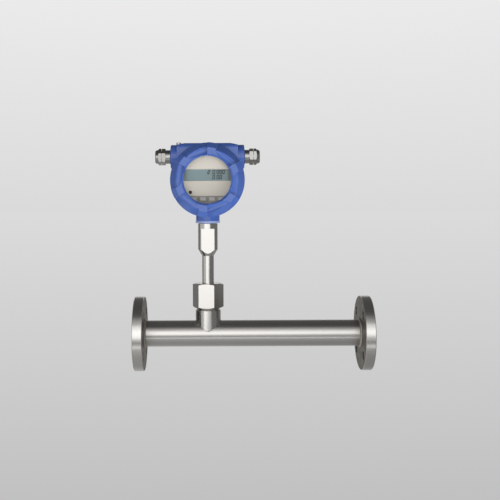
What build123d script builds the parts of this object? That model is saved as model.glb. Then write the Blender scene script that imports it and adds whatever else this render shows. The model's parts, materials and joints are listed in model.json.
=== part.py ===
"""Thermal mass flow meter: a flanged pipe spool with a sensor stem, a union nut and a display head.

Millimetres. +X runs along the pipe with the flow, +Z is up, and the display faces -Y.
The origin is the centre of the inlet flange's sealing face.
"""

from build123d import *
import os
from math import atan, cos, degrees, radians, sin, sqrt

os.makedirs("parts", exist_ok=True)

# Spool: pipe and flanges (DN 32 plate flanges, four bolts)
overall_length = 385.0
pipe_od = 42.4
pipe_wall = 2.6
pipe_setback = 5.0
flange_od = 120.0
flange_thickness = 16.0
flange_edge = 1.0
raised_face_od = 70.0
raised_face_height = 2.0
bolt_circle = 90.0
bolt_hole = 14.0
bolt_count = 4
socket_gap = 0.1
weld_leg = 3.0

# Sensor boss, welded on the pipe
stem_from_inlet = 121.0
boss_od = 41.0
boss_bore = 26.0
boss_body_height = 17.0
boss_chamfer = 2.5
boss_spigot_height = 23.8
boss_weld_leg = 0.6
union_thread_od = 36.0
thread_gap = 0.15
thread_lead_in = 1.5

# Union nut and what it clamps
union_gasket_thickness = 2.0
collar_od = 33.0
collar_thickness = 4.0
slip_ring_thickness = 2.0
nut_across_flats = 43.6
nut_height = 39.5
nut_lip = 11.5
nut_turn = -7.0
hex_chamfer_angle = 30.0
hex_face_share = 0.97
slide_gap = 0.4

# Sensor stem
tube_od = 19.0
tube_length = 58.0
taper_length = 10.5
sleeve_od = 32.0
sleeve_length = 42.5
sleeve_edge = 0.8
wrench_flats = 24.0
wrench_flat_top = 9.0
neck_spigot_od = 24.0
neck_spigot_length = 18.0
lead_bore = 12.0
plug_gap = 0.2
plug_tip_above_axis = 17.0
guard_wall = 1.5
guard_overlap = 5.0
guard_reach = 26.0
guard_window_width = 17.0
guard_window_height = 17.0
guard_fit = 0.05
sensor_diameter = 4.0
sensor_spacing = 11.0
sensor_reach = 20.0
sensor_head = 3.0
potting_length = 14.0
lead_bundle = 4.0
lead_plug_od = 9.0
lead_plug_length = 12.0
lead_plug_rise = 5.0

# Housing; its depths run from the stem's axis towards the front or the back
neck_to_head = 69.0
housing_od = 112.0
housing_front = 28.0
housing_back = 32.0
neck_od = 38.5
lip_od = 40.0
lip_height = 4.0
lip_edge = 0.8
roof_above_entries = 2.0
roof_flat_width = 72.0
roof_inset = 10.5
roof_drop = 3.0
roof_half_depth = 24.0
roof_corner = 2.0
roof_edge = 9.0
entry_height = 38.5
entry_boss_od = 39.0
entry_proud = 0.5
entry_edge = 1.0
cover_thread_od = 100.0
compartment_od = 92.0
back_thread_depth = 18.0
partition_front = 11.0
partition_thickness = 3.0
lead_hole = 14.0
bore_gap = 0.15

# Covers
cover_od = 118.0
cover_gap = 0.4
front_cover_depth = 26.6
back_cover_depth = 20.0
cover_spigot = 10.0
cover_bore = 90.0
cover_face_thickness = 5.0
cover_front_od = 101.0
cover_shoulder = 9.0
lug_count = 6
lug_angle = 16.0
lug_phase = 270.0
scoop_radius = 10.0
scoop_ring = 48.0
scoop_depth = 5.5
scoop_run_out = 0.3
cut_margin = 1.0
flank_drop = 3.2
flank_share = 0.4
o_ring_section = 2.5
o_ring_groove_width = 3.4
o_ring_gap = 0.13
window_diameter = 75.0
window_bevel = 3.0
back_dish_diameter = 76.0
back_dish_depth = 2.0
glass_thickness = 6.0
glass_gap = 0.2
window_gasket_thickness = 1.0
window_gasket_width = 5.0
retainer_thickness = 3.0
retainer_width = 5.2

# Display stack, from the partition towards the window
board_thickness = 1.6
main_standoff = 7.0
display_standoff = 9.4
standoff_across_flats = 5.5
standoff_x = 27.0
standoff_y = 25.0
screw_head_height = 2.0
main_board_od = 82.0
display_board_od = 84.0
plate_od = 87.6
plate_thickness = 1.5
plate_gap_to_board = 5.9
plate_post = 4.4
plate_post_angles = (90.0, 197.0, 343.0)
lcd_opening_width = 66.4
lcd_opening_bottom = -1.5
lcd_opening_top = 16.6
lcd_glass_margin = 1.3
lcd_glass_thickness = 1.0
lcd_frame_margin = 2.8
key_count = 4
key_pitch = 14.2
key_width = 8.4
key_height = 5.0
key_line = -30.0
key_stand = 1.0
key_travel = 0.5
key_gap = 0.2
key_corner = 0.8
switch_width = 6.0
switch_depth = 4.0
switch_height = 3.5
infrared_x = -27.0
infrared_y = -19.4
infrared_diameter = 5.2
infrared_stand = 0.4
infrared_gap = 0.1
transformer_size = (24.0, 18.0, 7.9)
transformer_place = (-8.0, 14.0)
relay_size = (12.0, 16.0, 6.9)
relay_place = (16.0, 6.0)
chip_size = (14.0, 14.0, 1.4)
chip_place = (-6.0, -12.0)
capacitor_diameter = 8.0
capacitor_height = 8.4
capacitor_places = ((10.0, -18.0), (20.0, -18.0))

# Wiring side
terminal_count = 6
terminal_pitch = 9.0
terminal_width = 14.0
terminal_height = 16.0
terminal_screw = 5.0
terminal_screw_height = 1.2
terminal_screw_gap = 0.4
terminal_wall = 3.0
terminal_mouth = 3.0
terminal_mouth_depth = 7.0
socket_width = 14.0
socket_height = 8.0
grommet_od = 14.0
grommet_lip = 1.2
grommet_below = 14.0

# Small fasteners
earth_screw_thread = 5.0
earth_screw_head = 8.0
earth_screw_head_height = 3.8
earth_screw_length = 8.0
earth_washer_od = 10.0
earth_washer_thickness = 0.8
earth_screw_inset = 12.9
spot_face_gap = 0.4
inner_earth_x = -30.0
inner_earth_y = -22.0
grub_neck = 5.0
grub_lock = 4.0
grub_gap = 0.05
grub_sink = 0.8
lock_screw_angle = 225.0
lock_screw_inset = 6.0

# Cable glands
gland_thread = 20.0
gland_shank = 12.0
gland_gasket_od = 23.6
gland_gasket_thickness = 1.0
gland_neck_od = 22.2
gland_neck_length = 6.8
gland_across_flats = 23.4
gland_hex_length = 6.7
gland_turn = 23.0
gland_spigot_od = 18.8
gland_spigot_length = 7.5
gland_bore = 12.4
gland_seal_od = 16.6
gland_seal_length = 7.8
cable_hole = 9.0
gland_washer_thickness = 1.0
gland_washer_gap = 0.8
cap_gap = 0.7
cap_hex_length = 4.0
cap_end_od = 21.2
cap_end_thickness = 2.0
cap_edge = 1.0

# Heights and depths worked out from the sizes above
pipe_id = pipe_od - 2 * pipe_wall
boss_shoulder = pipe_od / 2 + boss_body_height
boss_top = boss_shoulder + boss_spigot_height
collar_bottom = boss_top + union_gasket_thickness
collar_top = collar_bottom + collar_thickness
nut_seat = collar_top + slip_ring_thickness
nut_top = nut_seat + nut_lip
nut_bottom = nut_top - nut_height
taper_bottom = collar_top + tube_length
sleeve_bottom = taper_bottom + taper_length
sleeve_top = sleeve_bottom + sleeve_length
plug_radius = boss_bore / 2 - plug_gap
head_height = sleeve_top + neck_to_head
entry_span = cover_od + 2 * entry_proud
roof_height = entry_height + entry_boss_od / 2 + roof_above_entries
roof_width = entry_span - 2 * roof_inset
earth_screw_x = earth_screw_inset - entry_span / 2
neck_bottom = -neck_to_head
neck_bore = neck_spigot_od + 2 * bore_gap
spigot_top = neck_bottom + neck_spigot_length
lead_plug_bottom = spigot_top + lead_plug_rise
lead_plug_top = lead_plug_bottom + lead_plug_length
thread_bore = cover_thread_od / 2 + bore_gap
partition_back = partition_front - partition_thickness
lead_hole_top = -sqrt((compartment_od / 2) ** 2 - (lead_hole / 2) ** 2)
potting_bottom = plug_tip_above_axis + sensor_head + guard_overlap
potting_top = potting_bottom + potting_length
main_board_back = partition_front + main_standoff
main_board_front = main_board_back + board_thickness
display_board_back = main_board_front + display_standoff
display_board_front = display_board_back + board_thickness
plate_back = display_board_front + plate_gap_to_board
plate_front = plate_back + plate_thickness
standoff_places = [(x, y) for x in (-standoff_x, standoff_x) for y in (-standoff_y, standoff_y)]
key_places = [(key_pitch * (i - (key_count - 1) / 2), key_line) for i in range(key_count)]
lock_screw_bores = (housing_front - lock_screw_inset, -housing_back + lock_screw_inset)

# Frames: along the pipe, the head seen from the front, and the two cable entries
inlet = Plane(origin=(0, 0, 0), x_dir=(0, 1, 0), z_dir=(1, 0, 0))
outlet = Plane(origin=(overall_length, 0, 0), x_dir=(0, 1, 0), z_dir=(-1, 0, 0))
stem = Plane(origin=(stem_from_inlet, 0, 0))
head = Plane(origin=(stem_from_inlet, 0, head_height), x_dir=(1, 0, 0), z_dir=(0, -1, 0))
back = Plane(origin=(stem_from_inlet, 0, head_height), x_dir=(-1, 0, 0), z_dir=(0, 1, 0))
entries = {
    side: Plane(
        origin=(stem_from_inlet + way * entry_span / 2, 0, head_height + entry_height),
        x_dir=(0, -way, 0),
        z_dir=(way, 0, 0),
    )
    for side, way in (("left", -1), ("right", 1))
}


def turned(*outline):
    """A solid turned about Z from (radius, height) points."""
    return revolve(make_face(Plane.XZ * Polyline(*outline, close=True)), Axis.Z)


def ring(inner, outer, low, high):
    """A plain ring, or a disc where inner is zero."""
    return turned((inner, low), (outer, low), (outer, high), (inner, high))


def bar(width, depth, low, high, x=0.0, y=0.0):
    """A block standing on height low, centred at x, y."""
    return Pos(x, y, (low + high) / 2) * Box(width, depth, high - low)


def hexagon(across_flats, low, high, turn=0.0):
    """A plain hexagonal prism."""
    shape = RegularPolygon(across_flats / 2, 6, major_radius=False)
    return Pos(0, 0, low) * extrude(Rot(0, 0, turn) * shape, high - low)


def chamfered_hexagon(across_flats, low, high, turn=0.0, low_end=True, high_end=True):
    """A hexagonal prism with its corners turned off at a shallow angle."""
    corner = across_flats / sqrt(3)
    face = hex_face_share * across_flats / 2
    beyond = 2 * corner - face
    drop = (beyond - face) * sin(radians(hex_chamfer_angle))
    outline = [(0, low)]
    outline += [(face, low), (beyond, low + drop)] if low_end else [(beyond, low)]
    outline += [(beyond, high - drop), (face, high)] if high_end else [(beyond, high)]
    outline += [(0, high)]
    return hexagon(across_flats, low, high, turn) & turned(*outline)


def sector(start, angle, low, high, reach):
    """A wedge of space from start degrees, counterclockwise."""
    ends = [(reach * cos(radians(a)), reach * sin(radians(a))) for a in (start, start + angle)]
    return Pos(0, 0, low) * extrude(make_face(Polyline((0, 0), *ends, close=True)), high - low)


def pipe():
    """The measuring pipe with the hole under the boss."""
    tube = inlet * ring(pipe_id / 2, pipe_od / 2, pipe_setback, overall_length - pipe_setback)
    return tube - stem * ring(0, boss_bore / 2, 0, pipe_od)


def flange():
    """A plate flange with a raised face, from its sealing face inwards."""
    rim = raised_face_height
    end = rim + flange_thickness
    bore = pipe_od / 2 + socket_gap
    outer = flange_od / 2
    plate = turned(
        (bore, 0),
        (raised_face_od / 2, 0),
        (raised_face_od / 2, rim),
        (outer - flange_edge, rim),
        (outer, rim + flange_edge),
        (outer, end - flange_edge),
        (outer - flange_edge, end),
        (bore, end),
    )
    hole = ring(0, bolt_hole / 2, 0, end)
    turn = 180 / bolt_count
    for spot in PolarLocations(bolt_circle / 2, bolt_count, start_angle=turn):
        plate -= spot * hole
    return plate


def flange_welds():
    """The fillet behind a flange and the seal weld at the pipe's end."""
    back_face = raised_face_height + flange_thickness
    outer_radius = pipe_od / 2
    fillet_weld = turned(
        (outer_radius, back_face),
        (outer_radius + weld_leg, back_face),
        (outer_radius, back_face + weld_leg),
    )
    bore = outer_radius + socket_gap
    seal_weld = turned(
        (pipe_id / 2, pipe_setback),
        (bore, pipe_setback - weld_leg),
        (bore, pipe_setback),
    )
    return [fillet_weld, seal_weld]


def sensor_boss():
    """The boss: a saddle on the pipe, a shoulder and a threaded spigot."""
    spigot = union_thread_od / 2
    blank = turned(
        (boss_bore / 2, 0),
        (boss_od / 2, 0),
        (boss_od / 2, boss_shoulder),
        (spigot, boss_shoulder + boss_chamfer),
        (spigot, boss_top - thread_lead_in),
        (spigot - thread_lead_in, boss_top),
        (boss_bore / 2, boss_top),
    )
    saddle = inlet * ring(0, pipe_od / 2, 0, overall_length)
    return stem * blank - saddle


def boss_weld():
    """The weld that fills the corner between boss and pipe."""
    around_boss = stem * ring(boss_od / 2, boss_od / 2 + boss_weld_leg, 0, boss_shoulder)
    on_pipe = inlet * ring(pipe_od / 2, pipe_od / 2 + boss_weld_leg, 0, overall_length)
    return around_boss & on_pipe


def sensor_stem():
    """The turned stem: probe plug, collar, tube, taper, sleeve and neck spigot."""
    guard_bottom = plug_tip_above_axis
    guard_seat = guard_bottom + guard_overlap
    bore = lead_bore / 2
    blank = turned(
        (0, guard_bottom),
        (plug_radius - guard_wall, guard_bottom),
        (plug_radius - guard_wall, guard_seat),
        (plug_radius, guard_seat),
        (plug_radius, collar_bottom),
        (collar_od / 2, collar_bottom),
        (collar_od / 2, collar_top),
        (tube_od / 2, collar_top),
        (tube_od / 2, taper_bottom),
        (sleeve_od / 2, sleeve_bottom),
        (sleeve_od / 2, sleeve_top - sleeve_edge),
        (sleeve_od / 2 - sleeve_edge, sleeve_top),
        (neck_spigot_od / 2, sleeve_top),
        (neck_spigot_od / 2, sleeve_top + neck_spigot_length),
        (0, sleeve_top + neck_spigot_length),
    )
    blank -= ring(0, bore, potting_bottom, sleeve_top + neck_spigot_length)
    flat_top = sleeve_top - wrench_flat_top
    for way in (-1, 1):
        cheek = bar(sleeve_od, sleeve_od, collar_top, flat_top, y=way * (wrench_flats + sleeve_od) / 2)
        blank -= cheek
        blank -= ring(0, sensor_diameter / 2 + guard_fit, guard_bottom, potting_bottom).move(
            Location((way * sensor_spacing / 2, 0, 0))
        )
    return stem * blank


def sensor_guard():
    """The guard around the tips, open to the flow, pressed on the plug."""
    top = plug_tip_above_axis + guard_overlap
    bottom = plug_tip_above_axis + guard_overlap - guard_reach
    inner = plug_radius - guard_wall + guard_fit
    cage = ring(inner, plug_radius, bottom, top)
    window_top = plug_tip_above_axis - guard_wall
    window = bar(boss_od, guard_window_width, window_top - guard_window_height, window_top)
    return stem * (cage - window)


def sensor_tip(side):
    """One sensor capsule with a domed end."""
    radius = sensor_diameter / 2
    tip = plug_tip_above_axis - sensor_reach
    rod = ring(0, radius, tip + radius, potting_bottom)
    dome = Pos(0, 0, tip + radius) * Sphere(radius)
    return stem * Pos(side * sensor_spacing / 2, 0, 0) * (rod + dome)


def union_nut():
    """The hexagonal union nut with its lip over the slip ring."""
    body = chamfered_hexagon(nut_across_flats, nut_bottom, nut_top, nut_turn)
    thread = union_thread_od / 2 + thread_gap
    body -= ring(0, thread, nut_bottom, nut_seat)
    body -= ring(0, tube_od / 2 + slide_gap, nut_seat, nut_top)
    return stem * body


def roof_block():
    """The block across the housing that carries the cable entries, rounded along its top at front and back."""
    half = roof_width / 2
    flat = roof_flat_width / 2
    side = roof_height - roof_drop
    left = ((-half, 0), (-half, side), (-flat, roof_height))
    right = ((flat, roof_height), (half, side), (half, 0))
    outline = make_face(Polyline(*left, *right, close=True))
    corners = outline.vertices().filter_by(lambda v: v.Y > side / 2 and abs(v.X) > (half + flat) / 2)
    block = Pos(0, 0, -roof_half_depth) * extrude(fillet(corners, roof_corner), 2 * roof_half_depth)
    end_view = Pos(0, roof_height / 2) * Rectangle(2 * roof_half_depth, roof_height)
    top = end_view.vertices().filter_by(lambda v: v.Y > side / 2)
    rounded = Pos(0, 0, -half) * extrude(fillet(top, roof_edge), roof_width)
    return block & Rot(0, 90, 0) * rounded


def neck():
    """The neck under the housing with its lip."""
    lip_top = neck_bottom + lip_height
    outline = (
        (0, neck_bottom),
        (lip_od / 2 - lip_edge, neck_bottom),
        (lip_od / 2, neck_bottom + lip_edge),
        (lip_od / 2, lip_top - lip_edge),
        (neck_od / 2, lip_top),
        (neck_od / 2, -compartment_od / 2),
        (0, -compartment_od / 2),
    )
    return Rot(-90, 0, 0) * turned(*outline)


def entry_boss():
    """The cylinder across the housing whose ends take the glands."""
    half = entry_span / 2
    edge = entry_boss_od / 2 - entry_edge
    outline = (
        (0, -half),
        (edge, -half),
        (entry_boss_od / 2, -half + entry_edge),
        (entry_boss_od / 2, half - entry_edge),
        (edge, half),
        (0, half),
    )
    return Pos(0, entry_height, 0) * Rot(0, 90, 0) * turned(*outline)


def upright(inner, outer, low, high, x=0.0, z=0.0):
    """A ring about the head's up axis, at a place in the head's frame."""
    return Pos(x, 0, z) * Rot(-90, 0, 0) * ring(inner, outer, low, high)


def radial(radius, start, end, angle, depth):
    """A round bar that points away from the head's centre."""
    return Pos(0, 0, depth) * Rot(0, 0, angle) * Rot(0, 90, 0) * ring(0, radius, start, end)


def housing():
    """The cast housing: two compartments, roof, cable entries and neck."""
    body = ring(0, housing_od / 2, -housing_back, housing_front)
    body += roof_block() + entry_boss() + neck()
    body -= ring(0, thread_bore, partition_front, housing_front)
    body -= ring(0, compartment_od / 2, -housing_back, partition_back)
    body -= ring(0, thread_bore, -housing_back, -housing_back + back_thread_depth)
    body -= upright(0, neck_bore / 2, neck_bottom, spigot_top)
    body -= upright(0, lead_hole / 2, spigot_top, lead_hole_top)
    inner_end = sqrt((compartment_od / 2) ** 2 - entry_height**2)
    for way in (-1, 1):
        drill = ring(0, gland_thread / 2, inner_end, entry_span / 2)
        body -= Pos(0, entry_height, 0) * Rot(0, way * 90, 0) * drill
    seat = roof_height - roof_drop
    spot_face = earth_washer_od / 2 + spot_face_gap
    screw_hole = earth_screw_thread / 2 + grub_gap
    body -= upright(0, spot_face, seat, roof_height, earth_screw_x)
    body -= upright(0, screw_hole, seat - earth_screw_length, seat, earth_screw_x)
    bush_hole = grommet_od / 2 - grommet_lip
    body -= Pos(0, -grommet_below, 0) * ring(0, bush_hole, partition_back, partition_front)
    body -= Pos(inner_earth_x, inner_earth_y, 0) * ring(0, screw_hole, partition_back, partition_front)
    body -= neck_screw_bar(grub_neck / 2 + grub_gap, lip_od / 2)
    lock_hole = grub_lock / 2 + grub_gap
    for depth in lock_screw_bores:
        body -= radial(lock_hole, compartment_od / 2, housing_od, lock_screw_angle, depth)
    return head * body


def neck_screw_bar(radius, reach):
    """A bar from the neck bore to reach, at the middle of the lip, towards the back."""
    height = neck_bottom + lip_height / 2 + grub_neck / 2
    return Pos(0, height, 0) * Rot(180, 0, 0) * ring(0, radius, neck_bore / 2, reach)


def pocket_cutter(shoulder, face):
    """What is cut between two lugs: a scoop that runs out, and a steeper flank."""
    pocket = 360 / lug_count - lug_angle
    half = radians(pocket / 2)
    chord = 2 * scoop_ring * sin(half)
    tilt = degrees(atan((scoop_depth + scoop_run_out) / chord))
    middle = scoop_ring * cos(half)
    axis_height = face + scoop_radius - (scoop_depth - scoop_run_out) / 2
    scoop = Rot(0, -tilt, 0) * Rot(0, 90, 0) * Cylinder(scoop_radius, 3 * chord)
    scoop = Rot(0, 0, pocket / 2) * Pos(middle, 0, axis_height) * Rot(0, 0, 90) * scoop
    scoop &= sector(0, pocket, shoulder, face + 3 * scoop_radius, cover_od)
    top_radius = cover_front_od / 2
    low = shoulder + flank_share * (face - shoulder)
    slope = (face - flank_drop - low) / (cover_od / 2 - top_radius)
    beyond = cover_od / 2 + cut_margin
    flank = Polyline(
        (beyond, low - slope * cut_margin),
        (beyond, face + cut_margin),
        (top_radius - flank_drop - cut_margin, face + cut_margin),
        (top_radius, face - flank_drop),
        close=True,
    )
    return scoop + revolve(make_face(Plane.XZ * flank), Axis.Z, revolution_arc=pocket)


def cover(shoulder, depth, inside):
    """A screwed cover from its outline inside; the spigot, groove and lugs are common."""
    face = shoulder + depth
    outer = cover_od / 2
    spigot = cover_thread_od / 2
    groove = spigot - o_ring_section - o_ring_gap
    blank = turned(
        (cover_bore / 2, shoulder - cover_spigot),
        (spigot, shoulder - cover_spigot),
        (spigot, shoulder - o_ring_groove_width),
        (groove, shoulder - o_ring_groove_width),
        (groove, shoulder),
        (outer, shoulder),
        (outer, face - cover_shoulder),
        (cover_front_od / 2, face),
        *inside,
    )
    cutter = pocket_cutter(shoulder, face)
    for i in range(lug_count):
        blank -= Rot(0, 0, lug_phase + i * 360 / lug_count) * cutter
    return blank


def front_cover():
    """The front cover with the window opening, its bevel and the glass seat."""
    shoulder = housing_front + cover_gap
    face = shoulder + front_cover_depth
    seat = face - cover_face_thickness
    window = window_diameter / 2
    inside = (
        (window + window_bevel, face),
        (window, face - window_bevel),
        (window, seat),
        (cover_bore / 2, seat),
    )
    return head * cover(shoulder, front_cover_depth, inside)


def back_cover():
    """The blank cover with a shallow dish in its face."""
    shoulder = housing_back + cover_gap
    face = shoulder + back_cover_depth
    seat = face - cover_face_thickness
    dish = back_dish_diameter / 2
    inside = (
        (dish, face),
        (dish - back_dish_depth, face - back_dish_depth),
        (0, face - back_dish_depth),
        (0, seat),
        (cover_bore / 2, seat),
    )
    return back * cover(shoulder, back_cover_depth, inside)


def o_ring(shoulder):
    """The ring of round section in a cover's groove."""
    section = o_ring_section / 2
    middle = cover_thread_od / 2 - section
    place = shoulder - o_ring_groove_width / 2
    return Pos(0, 0, place) * Torus(middle, section - o_ring_gap / 4)


def window_parts():
    """Gasket, glass and screwed retainer behind the window opening."""
    seat = housing_front + cover_gap + front_cover_depth - cover_face_thickness
    outer = cover_bore / 2 - glass_gap
    glass_front = seat - window_gasket_thickness
    glass_back = glass_front - glass_thickness
    retainer_back = glass_back - retainer_thickness
    return {
        "window_gasket": head * ring(outer - window_gasket_width, outer, glass_front, seat),
        "window_glass": head * ring(0, outer, glass_back, glass_front),
        "window_retainer": head * ring(outer - retainer_width, outer, retainer_back, glass_back),
    }


def standoffs(low, high):
    """Four hexagonal pillars."""
    return [head * Pos(x, y, 0) * hexagon(standoff_across_flats, low, high) for x, y in standoff_places]


def main_board():
    """The lower board."""
    return head * ring(0, main_board_od / 2, main_board_back, main_board_front)


def main_board_parts():
    """The tall components on the lower board: transformer, relay, chip and capacitors."""
    base = main_board_front
    blocks = (
        (transformer_size, transformer_place),
        (relay_size, relay_place),
        (chip_size, chip_place),
    )
    shapes = [bar(w, d, base, base + h, *place) for (w, d, h), place in blocks]
    can = ring(0, capacitor_diameter / 2, base, base + capacitor_height)
    shapes += [Pos(x, y, 0) * can for x, y in capacitor_places]
    return [head * shape for shape in shapes]


def display_board():
    """The board behind the face plate."""
    return head * ring(0, display_board_od / 2, display_board_back, display_board_front)


def board_screws():
    """Pan heads on the display board's pillars."""
    radius = standoff_across_flats / 2
    low = display_board_front
    crown = turned(
        (0, low),
        (radius, low),
        (radius, low + screw_head_height / 2),
        (radius / 2, low + screw_head_height),
        (0, low + screw_head_height),
    )
    return [head * Pos(x, y, 0) * crown for x, y in standoff_places]


def lcd_parts():
    """The display's frame and its glass, behind the opening in the plate."""
    height = lcd_opening_top - lcd_opening_bottom
    middle = (lcd_opening_top + lcd_opening_bottom) / 2
    glass_back = plate_back - lcd_glass_thickness
    frame_width = lcd_opening_width + 2 * lcd_frame_margin
    frame_height = height + 2 * lcd_frame_margin
    glass_width = lcd_opening_width + 2 * lcd_glass_margin
    glass_height = height + 2 * lcd_glass_margin
    return {
        "lcd_frame": head * bar(frame_width, frame_height, display_board_front, glass_back, y=middle),
        "lcd_glass": head * bar(glass_width, glass_height, glass_back, plate_back, y=middle),
    }


def face_plate():
    """The plate round the display, with holes for the keys and the infrared window."""
    height = lcd_opening_top - lcd_opening_bottom
    middle = (lcd_opening_top + lcd_opening_bottom) / 2
    plate = ring(0, plate_od / 2, plate_back, plate_front)
    plate -= bar(lcd_opening_width, height, plate_back, plate_front, y=middle)
    eye_hole = infrared_diameter / 2 + infrared_gap
    plate -= Pos(infrared_x, infrared_y, 0) * ring(0, eye_hole, plate_back, plate_front)
    for place in key_places:
        hole = RectangleRounded(key_width + 2 * key_gap, key_height + 2 * key_gap, key_corner + key_gap)
        plate -= Pos(*place, plate_back) * extrude(hole, plate_thickness)
    return head * plate


def plate_posts():
    """Round spacers between the display board and the plate."""
    reach = display_board_od / 2 - plate_post
    places = [(reach * cos(radians(a)), reach * sin(radians(a))) for a in plate_post_angles]
    post = ring(0, plate_post / 2, display_board_front, plate_back)
    return [head * Pos(x, y, 0) * post for x, y in places]


def infrared_window():
    """The dark round eye beside the keys, standing on the display board."""
    eye = ring(0, infrared_diameter / 2, display_board_front, plate_front + infrared_stand)
    return head * Pos(infrared_x, infrared_y, 0) * eye


def key(place):
    """One key cap, which slides through the plate on to its switch."""
    low = display_board_front + switch_height + key_travel
    cap = extrude(RectangleRounded(key_width, key_height, key_corner), plate_front + key_stand - low)
    return head * Pos(*place, low) * cap


def key_switches():
    """The switches under the keys."""
    low = display_board_front
    return [head * bar(switch_width, switch_depth, low, low + switch_height, x, y) for x, y in key_places]


def terminal_block():
    """The terminal strip on the back of the partition, with a hole for each screw."""
    width = terminal_count * terminal_pitch
    block = bar(width, terminal_width, partition_back - terminal_height, partition_back)
    groove = partition_back - terminal_height
    for i in range(terminal_count):
        x = terminal_pitch * (i - (terminal_count - 1) / 2)
        well = terminal_screw / 2 + terminal_screw_gap
        block -= Pos(x, 0, 0) * ring(0, well, groove, groove + 2 * terminal_screw_height)
        mouth = groove + terminal_mouth_depth
        width_inside = terminal_pitch - terminal_wall
        block -= bar(width_inside, terminal_width, mouth, mouth + terminal_mouth, x, -terminal_width / 2)
    return head * block


def terminal_screws():
    """The screws in the terminal strip."""
    low = partition_back - terminal_height + terminal_screw_height
    screw = ring(0, terminal_screw / 2, low, low + terminal_screw_height)
    places = [terminal_pitch * (i - (terminal_count - 1) / 2) for i in range(terminal_count)]
    return [head * Pos(x, 0, 0) * screw for x in places]


def sensor_socket():
    """The socket on the partition that the sensor's plug meets."""
    middle = lead_plug_top + socket_height / 2
    return head * bar(socket_width, socket_height, partition_back - socket_width, partition_back, y=middle)


def grommet():
    """The rubber bush in the partition for the wires between the compartments."""
    waist = grommet_od / 2 - grommet_lip
    hole = waist - grommet_lip
    shape = turned(
        (hole, partition_back - grommet_lip),
        (grommet_od / 2, partition_back - grommet_lip),
        (grommet_od / 2, partition_back),
        (waist, partition_back),
        (waist, partition_front),
        (grommet_od / 2, partition_front),
        (grommet_od / 2, partition_front + grommet_lip),
        (hole, partition_front + grommet_lip),
    )
    return head * Pos(0, -grommet_below, 0) * shape


def inner_earth_screw():
    """The earth screw inside the terminal compartment."""
    shank = ring(0, earth_screw_thread / 2, partition_back, partition_front)
    top = ring(0, earth_screw_head / 2, partition_back - earth_screw_head_height, partition_back)
    return head * Pos(inner_earth_x, inner_earth_y, 0) * (shank + top)


def earth_screw():
    """The outer earth screw in its spot face at the roof's end."""
    seat = roof_height - roof_drop
    under_head = seat + earth_washer_thickness
    shank = upright(0, earth_screw_thread / 2, seat - earth_screw_length, under_head, earth_screw_x)
    top = upright(0, earth_screw_head / 2, under_head, under_head + earth_screw_head_height, earth_screw_x)
    return head * (shank + top)


def earth_washer():
    """The washer under the outer earth screw."""
    seat = roof_height - roof_drop
    hole = earth_screw_thread / 2 + grub_gap
    return head * upright(hole, earth_washer_od / 2, seat, seat + earth_washer_thickness, earth_screw_x)


def lock_screws():
    """The grub screws that keep both covers from turning."""
    inner = thread_bore + grub_gap
    outer = housing_od / 2 - grub_sink
    bars = [radial(grub_lock / 2, inner, outer, lock_screw_angle, d) for d in lock_screw_bores]
    return [head * bar_shape for bar_shape in bars]


def gland_parts():
    """One cable gland, from the face of its boss outwards: body, seal, washer, cap and gasket."""
    neck_end = gland_gasket_thickness + gland_neck_length
    hex_end = neck_end + gland_hex_length
    spigot_end = hex_end + gland_spigot_length
    bore = gland_bore / 2
    seal_room = gland_seal_od / 2
    body = turned(
        (bore, -gland_shank),
        (gland_thread / 2 - bore_gap, -gland_shank),
        (gland_thread / 2 - bore_gap, gland_gasket_thickness),
        (gland_neck_od / 2, gland_gasket_thickness),
        (gland_neck_od / 2, neck_end),
        (bore, neck_end),
    )
    flats = chamfered_hexagon(gland_across_flats, neck_end, hex_end, gland_turn, high_end=False)
    body += flats - ring(0, bore, neck_end, hex_end)
    body += ring(bore, gland_spigot_od / 2, hex_end, spigot_end)
    body -= ring(0, seal_room, spigot_end - gland_seal_length, spigot_end)
    seal = ring(cable_hole / 2, seal_room, spigot_end - gland_seal_length, spigot_end)
    washer_end = spigot_end + gland_washer_thickness
    washer = ring(cable_hole / 2 + gland_washer_gap, gland_spigot_od / 2, spigot_end, washer_end)
    cap_start = hex_end + cap_gap
    cap_hex_end = cap_start + cap_hex_length
    cap_end = washer_end + cap_end_thickness
    flat = gland_across_flats / 2
    corner = gland_across_flats / sqrt(3)
    cap = hexagon(gland_across_flats, cap_start, cap_end, gland_turn) & turned(
        (0, cap_start),
        (2 * corner - flat, cap_start),
        (2 * corner - flat, cap_hex_end - cap_edge),
        (flat, cap_hex_end + cap_edge),
        (cap_end_od / 2, cap_end - cap_edge),
        (cap_end_od / 2 - cap_edge, cap_end),
        (0, cap_end),
    )
    cap -= ring(0, gland_spigot_od / 2 + bore_gap, cap_start, washer_end)
    cap -= ring(0, bore, washer_end, cap_end)
    gasket = ring(gland_thread / 2, gland_gasket_od / 2, 0, gland_gasket_thickness)
    return {"body": body, "seal": seal, "washer": washer, "cap": cap, "gasket": gasket}


def save(name, shape):
    """Writes one node; a list of solids goes into one file."""
    if isinstance(shape, (list, tuple)):
        shape = Compound(children=[solid for item in shape for solid in item.solids()])
    export_step(shape, f"parts/{name}.step")


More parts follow.
